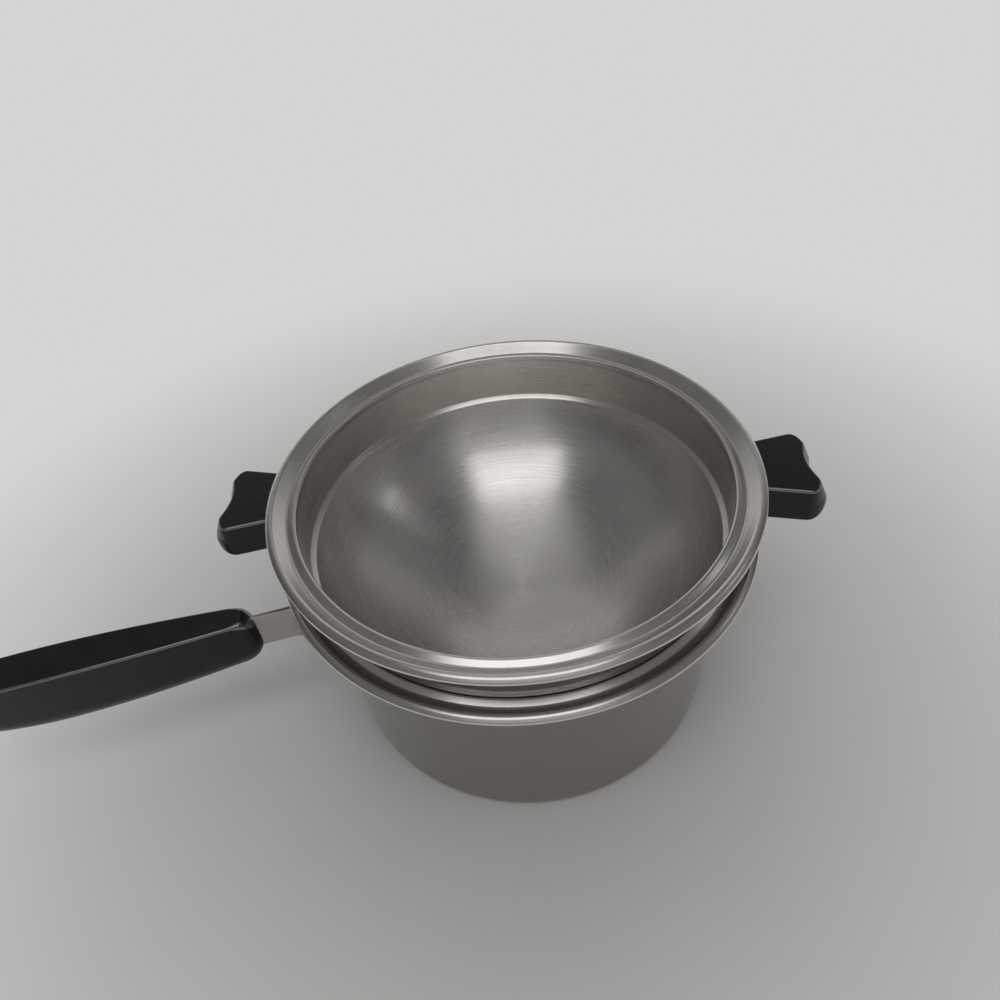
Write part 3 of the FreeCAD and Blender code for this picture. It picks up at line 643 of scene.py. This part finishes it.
def gripGrid(g):
    quarter = 1 - np.cos(np.linspace(0, 1, g["endRows"]) * np.pi / 2)
    nose, butt = g["noseUnder"] * quarter, gripLength - g["buttSide"] * quarter[::-1]
    run = np.concatenate([nose, np.linspace(nose[-1], butt[0], g["rows"])[1:-1], butt])
    half = swell(g["half"], run) - endRound(run, g["nosePlan"]) - endRound(gripLength - run, g["buttPlan"])
    buttDrop = endRound(gripLength - run, g["buttSide"])
    top = swell(g["top"], run) - endRound(run, g["noseTop"]) - buttDrop
    bottom = swell(g["bottom"], run) + endRound(run, g["noseUnder"]) + buttDrop
    edge = g["edge"] + (g["noseEdge"] - g["edge"]) * (1 - smoothStep(run, 0, g["noseEdgeRun"]))
    edge = np.minimum(edge, g["edgeShare"] * half)
    belly, deep = g["under"] * half, np.minimum(g["underDeep"], g["deepShare"] * (top - bottom))
    flat, arc = np.array(g["flat"]), np.linspace(0, np.pi / 2, g["arcSteps"])
    fall = np.linspace(*g["fall"], g["fallSteps"])
    low, high = bottom + deep, top - edge
    half, top, bottom, edge, belly, deep, low, high = (
        v[:, None] for v in (half, top, bottom, edge, belly, deep, low, high))
    across = np.hstack([(half - edge) * flat, half - edge + edge * np.sin(arc), half * np.ones_like(fall),
                        half - belly + belly * np.cos(arc), (half - belly) * flat[::-1]])
    up = np.hstack([top * np.ones_like(flat), high + edge * np.cos(arc), high + (low - high) * fall,
                    low - deep * np.sin(arc), bottom * np.ones_like(flat)])
    across = np.hstack([across, -across[:, -2:0:-1]])
    up = np.hstack([up, up[:, -2:0:-1]])
    grid = np.dstack([gripHigh.x / mm - run[:, None] + 0 * across, across, up])
    ends = np.broadcast_to(grid[[0, -1]].mean(1, keepdims=True), (2, *grid.shape[1:]))
    finish = np.zeros((len(grid) + 1, grid.shape[1]), int)
    first = len(flat)
    last = first + len(arc) - 1
    finish[:, first:last] = 1
    finish[:, -last:-first] = 1
    return dict(points=np.concatenate([ends[:1], grid, ends[1:]]), finish=finish)


cutterSides = 48


# Round cutter across the grip, from (radius, y) steps, at a place (x, z).
def crossCutter(name, steps, x, z):
    steps = np.array([(0, steps[0][1]), *steps, (0, steps[-1][1])], float)
    angle = np.arange(cutterSides) * 2 * np.pi / cutterSides
    across = np.broadcast_to(steps[:, 1:], (len(steps), cutterSides))
    points = np.stack([x + steps[:, :1] * np.cos(angle), across, z + steps[:, :1] * np.sin(angle)], 2)
    return gridMesh(name, [dict(points=points)])


def carve(mesh, cutters):
    blank = bpy.data.objects.new("blank", mesh)
    bpy.context.scene.collection.objects.link(blank)
    tools = []
    for cutter in cutters:
        tool = bpy.data.objects.new("tool", cutter)
        bpy.context.scene.collection.objects.link(tool)
        cut = blank.modifiers.new("cut", "BOOLEAN")
        cut.operation, cut.solver, cut.object = "DIFFERENCE", "EXACT", tool
        tools.append(tool)
    made = bpy.data.meshes.new_from_object(blank.evaluated_get(bpy.context.evaluated_depsgraph_get()))
    for spare in tools + [blank]:
        bpy.data.objects.remove(spare)
    return made


screwLow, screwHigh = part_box("handle_screws")
screwHead = (screwHigh.z - screwLow.z) / mm / 2
screwZ = (screwHigh.z + screwLow.z) / mm / 2
screwSpots = (screwLow.x / mm + screwHead, screwHigh.x / mm - screwHead)
recessWall = dict(radius=4.3, hole=2.2, seat=4.5)
palm = max(grip["half"])
hangX = gripLow.x / mm + grip["hangInset"]
hangZ = (grip["top"][2] + grip["bottom"][2]) / 2
hangHalf = grip["half"][2]
cutters = [crossCutter("hang", [
    (grip["hangRadius"] + 2 * grip["hangFlare"], -hangHalf - grip["hangFlare"]),
    (grip["hangRadius"], grip["hangFlare"] - hangHalf), (grip["hangRadius"], hangHalf - grip["hangFlare"]),
    (grip["hangRadius"] + 2 * grip["hangFlare"], hangHalf + grip["hangFlare"])], hangX, hangZ)]
for spot in screwSpots:
    cutters.append(crossCutter("recess", [
        (recessWall["hole"], 0), (recessWall["hole"], recessWall["seat"]),
        (recessWall["radius"], recessWall["seat"]), (recessWall["radius"], 2 * palm)], spot, screwZ))
gripMesh = carve(gridMesh("grip", [gripGrid(grip)]), cutters)
gripMesh.name = "grip"
gripMesh.set_sharp_from_angle(angle=math.radians(grip["sharp"]))
addPiece("grip", gripMesh, [blackResin, edgeResin], "saucepan", "moulded_black", "handle_grip")

# Small CAD pieces keep their shape and take a finish.
kept = {"ear_bracket": bladeSteel, "ear_washer": screwSteel, "ear_screw": screwSteel,
        "handle_screws": screwSteel, "handle_inserts": bushBrass}
for name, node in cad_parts.items():
    for start, finish in kept.items():
        if name.startswith(start):
            node.data.materials.clear()
            node.data.materials.append(finish)
print("kept pieces finished")

# Camera at the photograph's place.
shot = dict(
    eye=(-0.0477, -0.2454, 0.346), yaw=9.52, pitch=43.17, roll=-7.01, lens=26.64, sensor=36.0, near=0.01)


def placeCamera(s):
    yaw, pitch, roll = (math.radians(s[key]) for key in ("yaw", "pitch", "roll"))
    level = Vector((math.sin(yaw), math.cos(yaw), 0))
    forward = level * math.cos(pitch) - Vector((0, 0, math.sin(pitch)))
    right = Vector((math.cos(yaw), -math.sin(yaw), 0))
    up = right.cross(forward)
    across = right * math.cos(roll) + up * math.sin(roll)
    above = up * math.cos(roll) - right * math.sin(roll)
    camera = bpy.data.objects.new("camera", bpy.data.cameras.new("camera"))
    bpy.context.scene.collection.objects.link(camera)
    camera.data.sensor_width, camera.data.lens, camera.data.clip_start = s["sensor"], s["lens"], s["near"]
    facing = Matrix((across, above, -forward)).transposed().to_4x4()
    camera.matrix_world = Matrix.Translation(s["eye"]) @ facing
    bpy.context.scene.camera = camera


placeCamera(shot)

# Studio: pale floor that fades to an even near-white, one wide soft lamp overhead on the camera's side, a
# small one at the right, and a grey room with a white wall low at the back. A lighter strip of ceiling runs
# over the middle from front to back, a little askew, with a darker band along each side of it at the back.
# Low down at both sides the room is darker.
studio = dict(
    turn=-11.0, aim=0.1, floor=(0.90, 0.89, 0.875, 1), floorTint=(0.97, 1.03), tintScale=3.0, tintDetail=4.0,
    floorRough=0.7, floorSpecular=0.2, floorReach=4.0, pale=(0.67, 0.665, 0.66, 1), fade=(0.08, 0.5),
    key=dict(place=(-0.23, -1.42, 5.07), size=(3.72, 1.58), radiance=1.68),
    side=dict(place=(2.30, 0.28, 1.91), size=(0.26, 0.58), radiance=1.2),
    air=(1.0, 0.99, 0.98, 1), grey=0.19, white=0.42, horizon=(0.02, 0.15, 1.0, 0.0), lowest=0.05,
    wall=(0.32, 0.60, 1.0, 0.0), wallSide=(0.4, 0.8, 1.0, 0.0), wallStart=(-0.1, 0.25, 0.0, 1.0),
    skew=0.085, middle=-0.03, centre=0.045,
    strip=(0.32, 0.39, 1.0, 0.0), stripLight=(0.0, 0.6, 0.34, 0.20), stripStart=(-0.12, -0.04, 0.0, 1.0),
    band=(0.34, 0.41, 0.0, 1.0), bandEnd=(0.55, 0.82, 1.0, 0.0), bandDark=-0.10,
    front=(0.36, 0.46, 0.0, 1.0), frontSide=(0.33, 0.52, 0.25, 0.0), frontEnd=(0.6, 0.98, 1.0, 0.3),
    right=(0.78, 0.92, 0.0, 0.11), rightStart=(0.15, 0.3, 1.0, 0.0), rightEnd=(0.3, 0.6, 1.0, 0.0),
    sides=(0.6, 0.85, 0.0, 1.0), sidesEnd=(0.35, 0.65, 1.0, 0.0), sidesDark=-0.10)
sideways = Vector((math.cos(math.radians(studio["turn"])), math.sin(math.radians(studio["turn"])), 0))
backward = Vector((-sideways.y, sideways.x, 0))


# Area lamp turned towards the middle of the insert. Its power is radiance times area times pi.
def addLamp(name, lamp):
    light = bpy.data.lights.new(name, "AREA")
    light.shape = "RECTANGLE"
    light.size, light.size_y = lamp["size"]
    light.energy = lamp["radiance"] * lamp["size"][0] * lamp["size"][1] * math.pi
    made = bpy.data.objects.new(name, light)
    bpy.context.scene.collection.objects.link(made)
    place = sideways * lamp["place"][0] + backward * lamp["place"][1] + Vector((0, 0, lamp["place"][2]))
    back = (place - Vector((0, 0, studio["aim"]))).normalized()
    above = back.cross(sideways).normalized()
    facing = Matrix((above.cross(back), above, back)).transposed().to_4x4()
    made.matrix_world = Matrix.Translation(place) @ facing


def makeRoom():
    world = bpy.data.worlds.new("room")
    world.use_nodes = True
    bpy.context.scene.world = world
    tree = world.node_tree
    way = add(tree, "TexCoord").outputs["Generated"]
    up = add(tree, "SeparateXYZ", {0: way}).outputs["Z"]
    back = add(tree, "VectorMath", {0: way, 1: backward}, operation="DOT_PRODUCT").outputs["Value"]
    across = add(tree, "VectorMath", {0: way, 1: sideways}, operation="DOT_PRODUCT").outputs["Value"]
    askew = math2(tree, "ADD", across, math2(tree, "MULTIPLY", back, studio["skew"]))
    ceiling = math2(tree, "DIVIDE", askew, math2(tree, "MAXIMUM", up, studio["lowest"]))
    aside = math2(tree, "ABSOLUTE", math2(tree, "SUBTRACT", ceiling, studio["middle"]), 0.0)
    wide = math2(tree, "ABSOLUTE", math2(tree, "SUBTRACT", across, studio["centre"]), 0.0)
    ahead = math2(tree, "MULTIPLY", back, -1.0)

    def patch(*shares):
        made = shares[0]
        for share in shares[1:]:
            made = math2(tree, "MULTIPLY", made, share)
        return made

    def share(value, key):
        return mapped(tree, value, *studio[key])

    strip = patch(share(aside, "strip"), share(back, "stripStart"), share(back, "stripLight"))
    band = patch(share(aside, "band"), share(aside, "bandEnd"), share(back, "stripStart"))
    band = patch(band, studio["bandDark"])
    front = patch(share(ahead, "front"), share(ahead, "frontEnd"), share(wide, "frontSide"))
    wall = patch(share(up, "wall"), share(wide, "wallSide"), share(back, "wallStart"))
    wall = patch(math2(tree, "MAXIMUM", wall, share(up, "horizon")), studio["white"])
    right = patch(share(across, "right"), share(back, "rightStart"), share(ahead, "rightEnd"))
    sides = patch(share(wide, "sides"), share(up, "sidesEnd"), studio["sidesDark"])
    strength = studio["grey"]
    for part in (strip, band, front, wall, right, sides):
        strength = math2(tree, "ADD", part, strength)
    tree.links.new(strength, tree.nodes["Background"].inputs["Strength"])
    tree.nodes["Background"].inputs["Color"].default_value = studio["air"]


# The floor takes the object's shadow, and away from it gives way to an even pale ground for camera, glossy
# and transmission rays.
def makeFloor():
    made, tree, shader = newMaterial("pale_floor")
    place = add(tree, "TexCoord").outputs["Object"]
    clouds = noise(tree, place, studio["tintScale"], studio["tintDetail"])
    tint = mapped(tree, clouds, *spans["noise"], *studio["floorTint"])
    colour = mixed(tree, 1.0, studio["floor"], tint, "MULTIPLY")
    feed(tree, shader, Base_Color=colour, Roughness=studio["floorRough"],
         Specular_IOR_Level=studio["floorSpecular"])
    away = add(tree, "VectorMath", {0: place}, operation="LENGTH").outputs["Value"]
    rays = add(tree, "LightPath").outputs
    seen = math2(tree, "MAXIMUM", rays["Is Camera Ray"], rays["Is Glossy Ray"])
    seen = math2(tree, "MAXIMUM", seen, rays["Is Transmission Ray"])
    fade = {"Value": away, "From Min": studio["fade"][0], "From Max": studio["fade"][1]}
    fade = add(tree, "MapRange", fade, interpolation_type="SMOOTHSTEP").outputs["Result"]
    share = math2(tree, "MULTIPLY", seen, fade)
    even = add(tree, "Emission", {"Color": studio["pale"]}).outputs[0]
    surface = add(tree, "MixShader", {0: share, 1: shader.outputs[0], 2: even}).outputs[0]
    tree.links.new(surface, tree.nodes["Material Output"].inputs["Surface"])
    reach = studio["floorReach"]
    corners = [(x * reach, y * reach, 0) for x, y in ((-1, -1), (1, -1), (1, 1), (-1, 1))]
    mesh = bpy.data.meshes.new("floor")
    mesh.from_pydata(corners, [], [(0, 1, 2, 3)])
    mesh.materials.append(made)
    floor = bpy.data.objects.new("floor", mesh)
    bpy.context.scene.collection.objects.link(floor)


addLamp("key", studio["key"])
addLamp("side", studio["side"])
makeRoom()
makeFloor()
bpy.context.scene.view_settings.view_transform = "Standard"
print("studio set")
